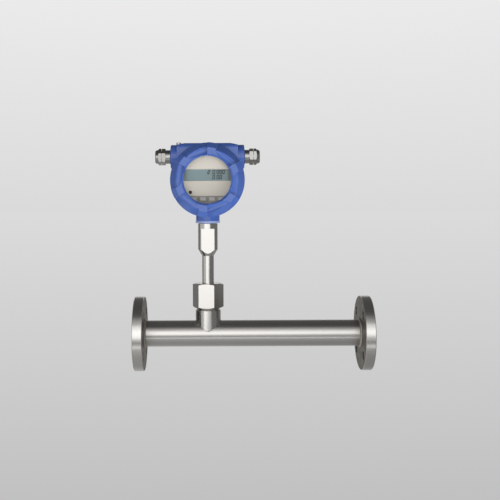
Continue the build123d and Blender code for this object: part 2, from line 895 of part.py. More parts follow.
nodes = {
    "pipe": pipe(),
    "inlet_flange": inlet * flange(),
    "outlet_flange": outlet * flange(),
    "inlet_welds": [inlet * weld for weld in flange_welds()],
    "outlet_welds": [outlet * weld for weld in flange_welds()],
    "sensor_boss": sensor_boss(),
    "boss_weld": boss_weld(),
    "union_gasket": stem * ring(boss_bore / 2, collar_od / 2, boss_top, collar_bottom),
    "sensor_stem": sensor_stem(),
    "sensor_guard": sensor_guard(),
    "heated_sensor": sensor_tip(1),
    "reference_sensor": sensor_tip(-1),
    "sensor_potting": stem * ring(0, lead_bore / 2, potting_bottom, potting_top),
    "sensor_leads": stem * ring(0, lead_bundle / 2, potting_top, head_height + lead_plug_bottom),
    "lead_plug": head * upright(0, lead_plug_od / 2, lead_plug_bottom, lead_plug_top),
    "union_slip_ring": stem * ring(tube_od / 2 + slide_gap, collar_od / 2, collar_top, nut_seat),
    "union_nut": union_nut(),
    "housing": housing(),
    "neck_screw": head * neck_screw_bar(grub_neck / 2, lip_od / 2 - grub_sink),
    "lock_screws": lock_screws(),
    "earth_screw": earth_screw(),
    "earth_washer": earth_washer(),
    "main_standoffs": standoffs(partition_front, main_board_back),
    "main_board": main_board(),
    "main_board_parts": main_board_parts(),
    "display_standoffs": standoffs(main_board_front, display_board_back),
    "display_board": display_board(),
    "board_screws": board_screws(),
    "face_plate": face_plate(),
    "plate_posts": plate_posts(),
    "infrared_window": infrared_window(),
    "key_switches": key_switches(),
    "terminal_block": terminal_block(),
    "terminal_screws": terminal_screws(),
    "sensor_socket": sensor_socket(),
    "grommet": grommet(),
    "inner_earth_screw": inner_earth_screw(),
    "front_o_ring": head * o_ring(housing_front + cover_gap),
    "front_cover": front_cover(),
    "back_o_ring": back * o_ring(housing_back + cover_gap),
    "back_cover": back_cover(),
    **lcd_parts(),
    **window_parts(),
}
for number, place in enumerate(key_places, 1):
    nodes[f"key_{number}"] = key(place)
for side, plane in entries.items():
    for piece, shape in gland_parts().items():
        nodes[f"{side}_gland_{piece}"] = plane * shape
for name, shape in nodes.items():
    save(name, shape)
print(len(nodes), "nodes")
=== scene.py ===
"""Materials, small added pieces, light and camera for a thermal mass flow meter. Metres, +Z up."""

import json
import math

import bmesh
import bpy
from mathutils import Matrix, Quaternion, Vector

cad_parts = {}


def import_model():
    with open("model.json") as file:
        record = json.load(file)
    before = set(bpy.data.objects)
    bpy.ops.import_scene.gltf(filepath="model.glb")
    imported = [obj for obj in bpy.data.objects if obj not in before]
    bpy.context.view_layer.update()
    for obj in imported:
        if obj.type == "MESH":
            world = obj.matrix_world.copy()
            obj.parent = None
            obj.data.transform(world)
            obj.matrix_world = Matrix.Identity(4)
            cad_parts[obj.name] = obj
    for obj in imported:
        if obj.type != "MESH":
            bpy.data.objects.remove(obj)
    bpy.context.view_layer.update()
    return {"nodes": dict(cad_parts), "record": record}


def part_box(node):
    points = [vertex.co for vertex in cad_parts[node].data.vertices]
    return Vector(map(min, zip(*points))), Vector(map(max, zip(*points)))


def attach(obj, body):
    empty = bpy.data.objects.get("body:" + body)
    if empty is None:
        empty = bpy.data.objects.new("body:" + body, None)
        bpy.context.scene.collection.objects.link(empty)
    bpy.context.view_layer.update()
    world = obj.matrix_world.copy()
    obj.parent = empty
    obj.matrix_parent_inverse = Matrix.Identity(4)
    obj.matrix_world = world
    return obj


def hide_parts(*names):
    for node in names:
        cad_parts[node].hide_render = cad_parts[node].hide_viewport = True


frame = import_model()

nodes = frame["nodes"]
MM = 0.001


def middle(node):
    """The centre of a CAD node's box."""
    low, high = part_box(node)
    return (low + high) / 2


# Places taken from the CAD nodes

stem_x = middle("sensor_stem").x
head_centre = Vector((stem_x, 0, middle("window_glass").z))
entry_z = middle("left_gland_body").z
front_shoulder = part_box("front_cover")[1].y - 10 * MM
back_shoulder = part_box("back_cover")[0].y + 10 * MM
pipe_low, pipe_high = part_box("pipe")
pipe_radius = pipe_high.z
meter_middle = (pipe_low.x + pipe_high.x) / 2
inner_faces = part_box("outlet_flange")[0].x - meter_middle
boss_low, boss_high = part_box("sensor_boss")
boss_radius = (boss_high.x - boss_low.x) / 2
lcd_low, lcd_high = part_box("lcd_glass")
plate_low, plate_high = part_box("face_plate")
AXES = {"x": Vector((1, 0, 0)), "y": Vector((0, 1, 0)), "z": Vector((0, 0, 1))}


# Node trees

class Tree:
    """One material or world, with short calls for its nodes."""

    def __init__(self, block):
        block.use_nodes = True
        self.block = block
        self.nodes = block.node_tree.nodes
        self.links = block.node_tree.links
        self.shader = self.nodes.get("Principled BSDF")

    def link(self, value, socket):
        """Sets a socket to a number, or joins another socket to it."""
        if isinstance(value, bpy.types.NodeSocket):
            self.links.new(value, socket)
        elif value is not None:
            socket.default_value = value

    def set(self, **inputs):
        """Sets inputs of the Principled shader."""
        for name, value in inputs.items():
            self.link(value, self.shader.inputs[name.replace("_", " ")])

    def node(self, kind, inputs=None, output=0, **settings):
        """Adds a node, sets its inputs by name or index, and returns one output."""
        made = self.nodes.new(kind)
        for name, value in settings.items():
            setattr(made, name, value)
        for name, value in (inputs or {}).items():
            self.link(value, made.inputs[name])
        return made.outputs[output]

    def math(self, operation, a, b=0.0):
        """One sum of two numbers."""
        return self.node("ShaderNodeMath", {0: a, 1: b}, operation=operation)

    def vector(self, operation, a, b=(0, 0, 0), output=0):
        """One sum of two vectors; output 1 is its number."""
        return self.node("ShaderNodeVectorMath", {0: a, 1: b}, output, operation=operation)

    def place(self):
        """The point on the surface in the frame's metres, which rides with the piece."""
        return self.node("ShaderNodeTexCoord", output="Object")

    def spread(self, value, low, high, start=0.0, end=1.0):
        """Maps start to end on to low to high."""
        inputs = {"Value": value, "From Min": start, "From Max": end, "To Min": low, "To Max": high}
        return self.node("ShaderNodeMapRange", inputs)

    def between(self, value, low, high):
        """1 where value lies between two limits."""
        above = self.math("GREATER_THAN", value, low)
        return self.math("MULTIPLY", above, self.math("LESS_THAN", value, high))

    def noise(self, scale, detail=2.0):
        """Noise through the body of a piece, scale to the metre."""
        return self.node("ShaderNodeTexNoise", {"Scale": scale, "Detail": detail, "Vector": self.place()})

    def lines(self, along, scale, detail=2.0):
        """Noise along one number, such as lathe lines."""
        inputs = {"W": along, "Scale": scale, "Detail": detail}
        return self.node("ShaderNodeTexNoise", inputs, noise_dimensions="1D")

    def mix(self, share, a, b):
        """Mixes two colours."""
        return self.node("ShaderNodeMix", {"Factor": share, 6: a, 7: b}, output=2, data_type="RGBA")

    def tint(self, colour, share, low, high):
        """A colour made darker or lighter by share, from low to high times itself."""
        dark = tuple(low * c for c in colour[:3]) + (1,)
        pale = tuple(high * c for c in colour[:3]) + (1,)
        return self.mix(share, dark, pale)

    def ramp(self, share, stops):
        """Grey levels at places from 0 to 1, level outside them."""
        made = self.nodes.new("ShaderNodeValToRGB")
        self.link(share, made.inputs[0])
        ends = zip(made.color_ramp.elements, (stops[0], stops[-1]))
        for spot, (place, level) in ends:
            spot.color = (level, level, level, 1)
        for place, level in stops:
            made.color_ramp.elements.new(place).color = (level, level, level, 1)
        return made.outputs[0]

    def bump(self, height, strength, distance, normal=None):
        inputs = {"Height": height, "Strength": strength, "Distance": distance, "Normal": normal}
        return self.node("ShaderNodeBump", inputs)

    def around(self, axis, point):
        """How far along and how far from an axis through point, as two numbers."""
        offset = self.vector("SUBTRACT", self.place(), tuple(point))
        along = self.vector("DOT_PRODUCT", offset, tuple(AXES[axis]), output=1)
        across = self.vector("MULTIPLY", offset, tuple(1 - v for v in AXES[axis]))
        return along, self.vector("LENGTH", across, output=1)


def new_material(name, **inputs):
    """A material with one Principled shader, its plain values set on the shader."""
    tree = Tree(bpy.data.materials.new(name))
    tree.set(**inputs)
    return tree


# Metals

STEEL = (0.625, 0.61, 0.585)
DULL_STEEL = (0.21, 0.195, 0.165)
WELD_STRAW = (0.5, 0.45, 0.38, 1)
WELD_BLUE = (0.44, 0.43, 0.44, 1)
SEALING_FROM = 17 * MM
GASKET_GROOVE = 0.8 * MM


def turned_surface(tree, axis, point, colour, rough, line, depth):
    """Fine lines round an axis and a patchy shine; returns colour, roughness and normal."""
    along, away = tree.around(axis, point)
    lathe = tree.math("ADD", along, away)
    fine = tree.lines(lathe, line, 3.0)
    coarse = tree.lines(lathe, line / 7, 1.0)
    patches = tree.noise(45.0, 3.0)
    both = tree.math("ADD", tree.math("MULTIPLY", fine, 0.6), tree.math("MULTIPLY", patches, 0.4))
    height = tree.math("ADD", fine, tree.math("MULTIPLY", coarse, 0.5))
    return tree.tint(colour, both, 0.92, 1.07), tree.spread(both, *rough), tree.bump(height, 1.0, depth)


def steel(name, axis, point, colour=STEEL, rough=(0.2, 0.34), line=2200.0, depth=5e-6, brushed=0.0):
    """Turned metal, stainless steel unless colour says else; brushed draws highlights along the axis."""
    tree = new_material(name, Metallic=1.0)
    if brushed:
        round_axis = tree.node("ShaderNodeTangent", direction_type="RADIAL", axis=axis.upper())
        tree.set(Anisotropic=brushed, Anisotropic_Rotation=0.25, Tangent=round_axis)
    shade, gloss, normal = turned_surface(tree, axis, point, colour, rough, line, depth)
    tree.set(Base_Color=shade, Roughness=gloss, Normal=normal)
    return tree.block


UNION_RADIUS = 18 * MM
UNION_PITCH = 1.5 * MM


def threaded_steel():
    """The boss and its nut: turned steel with a thread where they meet."""
    tree = new_material("threaded_steel", Metallic=1.0)
    shade, gloss, normal = turned_surface(tree, "z", (stem_x, 0, 0), STEEL, (0.16, 0.26), 2200.0, 4e-6)
    along, away = tree.around("z", (stem_x, 0, 0))
    threaded = tree.between(away, UNION_RADIUS - 0.3 * MM, UNION_RADIUS + 0.4 * MM)
    ridges = tree.math("PINGPONG", tree.math("MULTIPLY", along, 1 / UNION_PITCH), 0.5)
    tree.set(Base_Color=shade, Roughness=gloss)
    tree.set(Normal=tree.bump(tree.math("MULTIPLY", ridges, threaded), 1.0, 1e-3, normal))
    return tree.block


def flange_steel():
    """Turned flanges: bright rims, grooved sealing faces and dull backs."""
    tree = new_material("flange_steel", Metallic=1.0)
    shade, gloss, normal = turned_surface(tree, "x", (0, 0, 0), STEEL, (0.2, 0.28), 1100.0, 8e-6)
    along, away = tree.around("x", (meter_middle, 0, 0))
    from_middle = tree.math("ABSOLUTE", along)
    back = tree.math("LESS_THAN", from_middle, inner_faces + 0.2 * MM)
    sealing = tree.math("GREATER_THAN", from_middle, inner_faces + SEALING_FROM)
    dull = tree.tint(DULL_STEEL, tree.spread(tree.noise(110.0, 4.0), 0, 1, 0.35, 0.65), 0.7, 1.3)
    tree.set(Base_Color=tree.mix(back, shade, dull))
    tree.set(Roughness=tree.math("ADD", gloss, tree.math("MULTIPLY", back, 0.3)))
    groove = tree.math("PINGPONG", tree.math("MULTIPLY", away, 1 / GASKET_GROOVE), 0.5)
    tree.set(Normal=tree.bump(tree.math("MULTIPLY", groove, sealing), 1.0, 1e-4, normal))
    return tree.block


def weld_steel():
    """Weld metal: a little darker and rougher, with some straw and blue."""
    tree = new_material("weld_steel", Metallic=1.0)
    heat = tree.spread(tree.noise(120.0), 0, 1, 0.42, 0.6)
    tree.set(Base_Color=tree.mix(heat, WELD_STRAW, WELD_BLUE))
    tree.set(Roughness=tree.spread(tree.noise(300.0, 3.0), 0.25, 0.42))
    tree.set(Normal=tree.bump(tree.noise(1800.0, 3.0), 0.4, 1.5e-5))
    return tree.block


# Paint, plastics, rubber and glass

BLUE = (0.078, 0.162, 0.535)
PLATE_BEIGE = (0.8, 0.76, 0.67)
# Painted light: the plate's field above the display is made whiter.
PLATE_PAINTED_LIGHT = (0.9, 0.85, 0.76)
BARE_ALUMINIUM = (0.6, 0.6, 0.61, 1)
TAPPED_BORE = (49.4 * MM, 50.6 * MM)
COVER_PITCH = 2 * MM
LIP_HIGHLIGHT_HEIGHT = 4 * MM
# Pale blue painted on the neck's lip as a highlight on its rounded edge.
LIP_HIGHLIGHT_BLUE = (0.36, 0.46, 0.8, 1)
RUBBER_BLACK = (0.028, 0.028, 0.03)
BOARD_GREEN = (0.02, 0.14, 0.06, 1)
TRACK_GREEN = (0.04, 0.26, 0.11, 1)
GLASS_TINT = (0.985, 0.985, 0.98, 1)
GLASS_SHADE = (0.945, 0.94, 0.935, 1)


def thread_wave(tree, along):
    """Ridges one pitch apart."""
    return tree.math("PINGPONG", tree.math("MULTIPLY", along, 1 / COVER_PITCH), 0.5)


def enamel(name, bare_and_highlight):
    """Blue enamel on a casting, with bare turned threads and, where the given mask says, a painted
    highlight on the lip in pale blue.
    """
    tree = new_material(name, Coat_Weight=0.2, Coat_Roughness=0.08, Specular_IOR_Level=0.45)
    grain = tree.noise(900.0, 2.0)
    rough = tree.spread(grain, 0.16, 0.24)
    height = tree.math("ADD", tree.noise(260.0, 2.0), tree.math("MULTIPLY", grain, 0.25))
    peel = tree.bump(height, 0.3, 1.0e-4)
    share, ridges, lip_highlight = bare_and_highlight(tree)
    paint = tree.tint(BLUE, tree.noise(22.0, 3.0), 0.92, 1.08)
    # Painted highlight: the lip under the neck is coloured pale blue.
    paint_and_highlight = tree.mix(lip_highlight, paint, LIP_HIGHLIGHT_BLUE)
    tree.set(Base_Color=tree.mix(share, paint_and_highlight, BARE_ALUMINIUM), Metallic=share)
    tree.set(Roughness=tree.math("SUBTRACT", rough, tree.math("MULTIPLY", share, 0.08)))
    tree.set(Normal=tree.bump(tree.math("MULTIPLY", ridges, share), 1.0, 6e-4, peel))
    return tree.block


def bare_spigot(shoulder, way):
    """The turned spigot of a cover, behind its shoulder."""
    def bare_and_highlight(tree):
        along = tree.around("y", head_centre)[0]
        behind = tree.math("GREATER_THAN", tree.math("MULTIPLY", along, way), way * shoulder)
        return behind, thread_wave(tree, along), 0.0
    return bare_and_highlight


def bare_and_lip_highlight(tree):
    """The tapped bores of the housing, and the lip under its neck, painted pale blue as a highlight."""
    along, away = tree.around("y", head_centre)
    bores = tree.between(away, *TAPPED_BORE)
    height = tree.node("ShaderNodeSeparateXYZ", {0: tree.place()}, output="Z")
    # The lip's mask, for its painted highlight.
    lip_highlight = tree.math("LESS_THAN", height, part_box("housing")[0].z + LIP_HIGHLIGHT_HEIGHT)
    return bores, thread_wave(tree, along), lip_highlight


def plastic(name, colour, rough=(0.35, 0.5), grain=1500.0, depth=2e-5, shine=0.5):
    """A moulded plastic with a fine grain."""
    tree = new_material(name, Specular_IOR_Level=shine)
    fine = tree.noise(grain, 2.0)
    tree.set(Base_Color=tree.tint(colour, tree.noise(30.0), 0.95, 1.05))
    tree.set(Roughness=tree.spread(fine, *rough))
    tree.set(Normal=tree.bump(fine, 0.5, depth))
    return tree.block


def rubber(name):
    """Black rubber with a dull bloom."""
    tree = new_material(name)
    bloom = tree.noise(90.0, 4.0)
    tree.set(Base_Color=tree.tint(RUBBER_BLACK, bloom, 0.7, 1.5))
    tree.set(Roughness=tree.spread(bloom, 0.55, 0.8))
    tree.set(Normal=tree.bump(tree.noise(1400.0), 0.4, 3e-5))
    return tree.block


def plate_face():
    """The face plate: pale beige, with a whiter field above the display that is painted light."""
    tree = new_material("plate_face")
    height = tree.node("ShaderNodeSeparateXYZ", {0: tree.place()}, output="Z")
    above = tree.math("GREATER_THAN", height, lcd_high.z)
    cloud = tree.noise(30.0)
    lower = tree.tint(PLATE_BEIGE, cloud, 0.96, 1.04)
    # Painted light: the field above the display is whiter, to lift the window ring's shade from it.
    upper = tree.tint(PLATE_PAINTED_LIGHT, cloud, 0.96, 1.04)
    fine = tree.noise(1500.0, 2.0)
    tree.set(Base_Color=tree.mix(above, lower, upper), Roughness=tree.spread(fine, 0.4, 0.55))
    tree.set(Normal=tree.bump(fine, 0.5, 2e-5))
    return tree.block


def laminate(name):
    """Green board with paler tracks under the solder mask."""
    tree = new_material(name, Coat_Weight=0.3)
    sizes = {"Vector": tree.place(), "Scale": 220.0, "Mortar Size": 0.03}
    tracks = tree.node("ShaderNodeTexBrick", sizes, output="Fac")
    tree.set(Base_Color=tree.mix(tracks, BOARD_GREEN, TRACK_GREEN), Roughness=0.35)
    tree.set(Normal=tree.bump(tracks, 0.5, 3e-5))
    return tree.block


def glass(name):
    """Clear glass that lets the lamps reach what is behind it."""
    tree = new_material(name, Roughness=0.0, IOR=1.12, Transmission_Weight=1.0)
    tree.set(Base_Color=GLASS_TINT)
    clear = tree.node("ShaderNodeBsdfTransparent", {"Color": GLASS_SHADE})
    path = tree.nodes.new("ShaderNodeLightPath")
    unseen = tree.math("MAXIMUM", path.outputs["Is Shadow Ray"], path.outputs["Is Diffuse Ray"])
    mixed = tree.node("ShaderNodeMixShader", {0: unseen, 1: tree.shader.outputs[0], 2: clear})
    tree.link(mixed, tree.nodes["Material Output"].inputs["Surface"])
    return tree.block


LCD_GREY = (0.225, 0.335, 0.36, 1)
# Painted shade for both ends of the display, under its frame.
LCD_PAINTED_SHADE = (0.14, 0.20, 0.22, 1)
LCD_SHADED_END = 4 * MM
LCD_COVERED = 1.3 * MM


def lcd_face(name):
    """The grey-green face of the display, with painted shade darkening it towards both ends."""
    tree = new_material(name, Coat_Weight=0.2, Coat_Roughness=0.05)
    along = tree.around("x", middle("lcd_glass"))[0]
    reach = (lcd_high.x - lcd_low.x) / 2
    edge = tree.spread(tree.math("ABSOLUTE", along), 0, 1, reach - LCD_SHADED_END, reach)
    dots = tree.noise(2600.0, 1.0)
    # Painted shade: the face darkens over its last few millimetres at both ends.
    tree.set(Base_Color=tree.mix(edge, LCD_GREY, LCD_PAINTED_SHADE), Roughness=tree.spread(dots, 0.3, 0.4))
    return tree.block


stem_point = (stem_x, 0, 0)
entry_point = (0, 0, entry_z)
finishes = {
    "pipe_steel": steel("pipe_steel", "x", (0, 0, 0), rough=(0.27, 0.35), line=1500.0, brushed=0.6),
    "flange_steel": flange_steel(),
    "weld_steel": weld_steel(),
    "turned_steel": steel("turned_steel", "z", stem_point, rough=(0.16, 0.26), depth=4e-6),
    "sensor_steel": steel("sensor_steel", "z", stem_point, (0.7, 0.7, 0.69), (0.12, 0.2)),
    "white_gasket": plastic("white_gasket", (0.82, 0.81, 0.78)),
    "potting_resin": plastic("potting_resin", (0.03, 0.03, 0.035), (0.1, 0.2), 200.0),
    "lead_sleeve": plastic("lead_sleeve", (0.6, 0.59, 0.56)),
    "connector_plastic": plastic("connector_plastic", (0.74, 0.72, 0.65)),
    "blue_paint": enamel("blue_paint", bare_and_lip_highlight),
    "screw_steel": steel("screw_steel", "z", stem_point, (0.55, 0.54, 0.52), (0.25, 0.4)),
    "board_laminate": laminate("board_laminate"),
    "component_plastic": plastic("component_plastic", (0.015, 0.015, 0.016), shine=0.1),
    "plate_plastic": plastic("plate_plastic", PLATE_BEIGE, (0.4, 0.55)),
    "key_plastic": plastic("key_plastic", (0.62, 0.6, 0.57)),
    "lcd_frame_plastic": plastic("lcd_frame_plastic", (0.07, 0.085, 0.09)),
    "lcd_face": lcd_face("lcd_face"),
    "terminal_plastic": plastic("terminal_plastic", (0.05, 0.26, 0.12)),
    "black_rubber": rubber("black_rubber"),
    "window_glass": glass("window_glass"),
    "nickel_brass": steel("nickel_brass", "x", entry_point, (0.41, 0.403, 0.388), (0.2, 0.3)),
}
own_finishes = {
    "front_cover": enamel("front_cover_paint", bare_spigot(front_shoulder + 0.1 * MM, 1)),
    "back_cover": enamel("back_cover_paint", bare_spigot(back_shoulder - 0.1 * MM, -1)),
    "sensor_boss": threaded_steel(),
    "face_plate": plate_face(),
}
own_finishes["union_nut"] = own_finishes["sensor_boss"]
key_sheet_grey = plastic("key_sheet_grey", (0.3, 0.29, 0.28), (0.4, 0.5))
lcd_ink = plastic("lcd_ink", (0.012, 0.02, 0.022), shine=0.1)
bezel_grey = plastic("bezel_grey", (0.24, 0.29, 0.29), shine=0.2)


def dress_cad_nodes():
    """Gives every CAD node its finish; the steel reflects the studio and not the blue head."""
    slots = {part["node"]: part["material_slot"] for part in frame["record"]["subparts"]}
    for name, shown in nodes.items():
        shown.data.materials.clear()
        shown.data.materials.append(own_finishes.get(name) or finishes[slots[name]])
        shown.visible_glossy = slots[name] != "blue_paint"


dress_cad_nodes()


# Added pieces

def add_piece(name, points, faces, body, slot, finish=None, smooth=True):
    """A mesh piece that rides on a body."""
    mesh = bpy.data.meshes.new(name)
    mesh.from_pydata([tuple(p) for p in points], [], faces)
    work = bmesh.new()
    work.from_mesh(mesh)
    bmesh.ops.recalc_face_normals(work, faces=work.faces)
    work.to_mesh(mesh)
    work.free()
    for face in mesh.polygons:
        face.use_smooth = smooth
    piece = bpy.data.objects.new(name, mesh)
    bpy.context.scene.collection.objects.link(piece)
    mesh.materials.append(finish or finishes[slot])
    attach(piece, body)
    return piece


def grid_faces(down, across, first=0, closed=True):
    """Faces between closed rows of points; the last row joins the first if closed."""
    faces = []
    for i in range(down if closed else down - 1):
        for j in range(across):
            after, beside = (i + 1) % down, (j + 1) % across
            corners = (i * across + j, i * across + beside, after * across + beside, after * across + j)
            faces.append(tuple(first + c for c in corners))
    return faces


# Weld beads: each drop overlaps the last as a crescent

WELD_LEG = 2.8 * MM
BEAD_ROOT = 0.15 * MM
PIPE_DROPS = 84
DROP_STEPS = 6
BEAD_SIDES = 9
RIPPLE = 0.16
CRESCENT = 0.35
BEAD_SAG = 0.18


def ripple(step, side):
    """How full the bead is at one step along it and one side across it."""
    bend = CRESCENT * (2 * side / (BEAD_SIDES - 1) - 1) ** 2
    return 1 + RIPPLE * (math.sin(math.pi * ((step / DROP_STEPS + bend) % 1)) - 0.5)


def corner_bead(points, faces, corner, out, up, leg):
    """A bead round the X axis in a corner (x, radius), out along X and up from the axis."""
    rows = PIPE_DROPS * DROP_STEPS
    first = len(points)
    for i in range(rows):
        turn = 2 * math.pi * i / rows
        radial = Vector((0, math.cos(turn), math.sin(turn)))
        spots = [(-BEAD_ROOT, -BEAD_ROOT)]
        for j in range(BEAD_SIDES):
            lean = math.pi / 2 * j / (BEAD_SIDES - 1)
            full = leg * (1 - BEAD_SAG * math.sin(2 * lean)) * ripple(i, j)
            spots.append((full * math.cos(lean), full * math.sin(lean)))
        for along, away in spots:
            points.append((corner[0] + out * along) * AXES["x"] + (corner[1] + up * away) * radial)
    faces += grid_faces(rows, BEAD_SIDES + 1, first)


def flange_beads(name, node, flange, way):
    """The beads behind a flange and at the pipe's end; way is 1 at the inlet, -1 at the outlet."""
    low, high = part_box(flange)
    back = high.x if way > 0 else low.x
    pipe_end = pipe_low.x if way > 0 else pipe_high.x
    points, faces = [], []
    corner_bead(points, faces, (back, pipe_radius), way, 1, WELD_LEG)
    corner_bead(points, faces, (pipe_end, pipe_radius), -way, -1, WELD_LEG)
    piece = add_piece(name, points, faces, "spool", "weld_steel")
    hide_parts(node)


SADDLE_DROPS = 110
SADDLE_BEAD = 0.35 * MM
SADDLE_SIDES = 10


def saddle_bead():
    """The slim bead where the boss meets the pipe."""
    rows = SADDLE_DROPS * DROP_STEPS
    centres = []
    for i in range(rows):
        turn = 2 * math.pi * i / rows
        x, y = boss_radius * math.cos(turn), boss_radius * math.sin(turn)
        centres.append(Vector((x, y, math.sqrt(pipe_radius**2 - y**2))))
    points = []
    for i, centre in enumerate(centres):
        ahead = (centres[(i + 1) % rows] - centres[i - 1]).normalized()
        side = ahead.cross(Vector((centre.x, centre.y, 0))).normalized()
        out = side.cross(ahead)
        full = SADDLE_BEAD * (1 + RIPPLE * math.sin(math.pi * (i / DROP_STEPS % 1)))
        for j in range(SADDLE_SIDES):
            lean = 2 * math.pi * j / SADDLE_SIDES
            swell = math.cos(lean) * out + math.sin(lean) * side
            points.append(Vector(stem_point) + centre + full * swell)
    piece = add_piece("boss_weld_bead", points, grid_faces(rows, SADDLE_SIDES), "spool", "weld_steel")
    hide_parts("boss_weld")


flange_beads("inlet_weld_beads", "inlet_welds", "inlet_flange", 1)
flange_beads("outlet_weld_beads", "outlet_welds", "outlet_flange", -1)
saddle_bead()


# The readings and the key sheet, in the head's frame: x to the right, y up, seen from the front

def slab(points, faces, outline, front, thickness):
    """A thin prism with its outline as seen from the front, where front is the world's y."""
    first = len(points)
    count = len(outline)
    for depth in (front, front - thickness):
        points += [Vector((stem_x + x, depth, head_centre.z + y)) for x, y in outline]
    faces.append(tuple(first + i for i in range(count)))
    faces.append(tuple(first + count + i for i in reversed(range(count))))
    for i in range(count):
        after = (i + 1) % count
        faces.append((first + i, first + count + i, first + count + after, first + after))


SEGMENTS = {"0": "abcdef", "2": "abged"}
DIGIT_WIDTH = 3.0 * MM
DIGIT_HEIGHT = 5.5 * MM
DIGIT_PITCH = 4.6 * MM
POINT_ROOM = 1.9 * MM
STROKE = 1.25 * MM
BAR_END = 0.95
BAR_TIP = 0.85
DIGIT_LEAN = 0.08
UPPER_ROW = 9.7 * MM
LOWER_ROW = 1.7 * MM
FIGURES_LEFT = 8.3 * MM
MARK_LEFT = 0.4 * MM
INK = 0.08 * MM
INK_PROUD = 0.02 * MM
W, H, HALF = DIGIT_WIDTH, DIGIT_HEIGHT, DIGIT_HEIGHT / 2
SEGMENT_ENDS = {
    "a": ((0, H), (W, H)),
    "b": ((W, H), (W, HALF)),
    "c": ((W, HALF), (W, 0)),
    "d": ((0, 0), (W, 0)),
    "e": ((0, HALF), (0, 0)),
    "f": ((0, H), (0, HALF)),
    "g": ((0, HALF), (W, HALF)),
}


def segment_outline(letter):
    """One bar of a digit, with pointed ends, from the digit's lower left corner."""
    start, end = (Vector(p) for p in SEGMENT_ENDS[letter])
    along = (end - start).normalized() * STROKE / 2
    across = Vector((-along.y, along.x))
    a, b = start + BAR_END * along, end - BAR_END * along
    tip = BAR_TIP * along
    return [a - tip, a - across, b - across, b + tip, b + across, a + across]


def reading(points, faces, text, left, bottom):
    """One row of digits and points."""
    x = left
    for sign in text:
        spot = x
        if sign == ".":
            dot = STROKE / 3
            bars = [[Vector(p) for p in ((-dot, -dot), (dot, -dot), (dot, dot), (-dot, dot))]]
            x += POINT_ROOM
        else:
            bars = [segment_outline(letter) for letter in SEGMENTS[sign]]
            x += DIGIT_PITCH
        for bar in bars:
            outline = [(spot + p.x + DIGIT_LEAN * p.y, bottom + p.y) for p in bar]
            slab(points, faces, outline, lcd_low.y - INK_PROUD, INK)


def lcd_digits():
    """Two readings on the display."""
    points, faces = [], []
    reading(points, faces, "2", MARK_LEFT, UPPER_ROW)
    reading(points, faces, "0.000", FIGURES_LEFT, UPPER_ROW)
    reading(points, faces, "0.00", FIGURES_LEFT, LOWER_ROW)
    add_piece("lcd_digits", points, faces, "head", "lcd_frame_plastic", lcd_ink, smooth=False)


BEZEL_END = 38.5 * MM
BEZEL = 0.1 * MM


def lcd_bezel():
    """Two thin dark strips on the plate, beside the display opening."""
    edge = (lcd_high.x - lcd_low.x) / 2 - LCD_COVERED
    bottom, top = lcd_low.z + LCD_COVERED - head_centre.z, lcd_high.z - LCD_COVERED - head_centre.z
    points, faces = [], []
    for left, right in ((-BEZEL_END, -edge), (edge, BEZEL_END)):
        corners = [(left, bottom), (right, bottom), (right, top), (left, top)]
        slab(points, faces, corners, plate_low.y, BEZEL)
    add_piece("lcd_bezel", points, faces, "head", "lcd_frame_plastic", bezel_grey, smooth=False)


KEY_CLEARANCE = 0.35 * MM
SHEET_TOP = -25.4 * MM
SHEET_MARGIN = 0.6 * MM
SHEET = 0.12 * MM
COLUMN = 0.9 * MM


def key_sheet():
    """A thin grey sheet on the plate round the keys, cut to the plate's circle."""
    radius = (plate_high.x - plate_low.x) / 2 - SHEET_MARGIN
    reach = math.sqrt(radius**2 - SHEET_TOP**2)
    columns = int(2 * reach / COLUMN)
    stops = {-reach + 2 * reach * i / columns for i in range(columns + 1)}
    holes = []
    for i in range(1, 5):
        low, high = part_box(f"key_{i}")
        left, right = low.x - KEY_CLEARANCE - stem_x, high.x + KEY_CLEARANCE - stem_x
        bottom, top = low.z - KEY_CLEARANCE - head_centre.z, high.z + KEY_CLEARANCE - head_centre.z
        holes.append((left, right, bottom, top))
        stops |= {left, right}
    stops = sorted(stops)
    points, faces = [], []
    for left, right in zip(stops, stops[1:]):
        ends = [-math.sqrt(max(radius**2 - x**2, SHEET_TOP**2)) for x in (left, right)]
        cut = [hole for hole in holes if hole[0] < (left + right) / 2 < hole[1]]
        bands = [(ends, SHEET_TOP)]
        if cut:
            bands = [((cut[0][3], cut[0][3]), SHEET_TOP), (ends, cut[0][2])]
        for bottoms, top in bands:
            outline = [(left, bottoms[0]), (right, bottoms[1]), (right, top), (left, top)]
            slab(points, faces, outline, plate_low.y, SHEET)
    add_piece("key_sheet", points, faces, "head", "plate_plastic", key_sheet_grey, smooth=False)


lcd_digits()
lcd_bezel()
key_sheet()


# Screws with real recesses

SCREW_SIDES = 48
SOCKET_MOUTH = 1.25
SOCKET_START = 0.1 * MM
SHANK_RADIUS = 2.5 * MM
SHANK_OVERLAP = 0.2 * MM


def turned_screw(points, faces, base, way, profile):
    """A turned form; its rings are (radius, height) or, for a hexagon, (half the flats, height, 6)."""
    turn_to = way.to_track_quat("Z", "Y").to_matrix()
    first = len(points)
    for entry in profile:
        for j in range(SCREW_SIDES):
            turn = 2 * math.pi * j / SCREW_SIDES
            radius = entry[0]
            if len(entry) == 3:
                step = math.pi / entry[2]
                radius /= math.cos(turn % (2 * step) - step)
            point = Vector((radius * math.cos(turn), radius * math.sin(turn), entry[1]))
            points.append(base + turn_to @ point)
    faces += grid_faces(len(profile), SCREW_SIDES, first, closed=False)
    faces.append(tuple(first + j for j in range(SCREW_SIDES)))
    last = first + (len(profile) - 1) * SCREW_SIDES
    faces.append(tuple(last + j for j in range(SCREW_SIDES)))


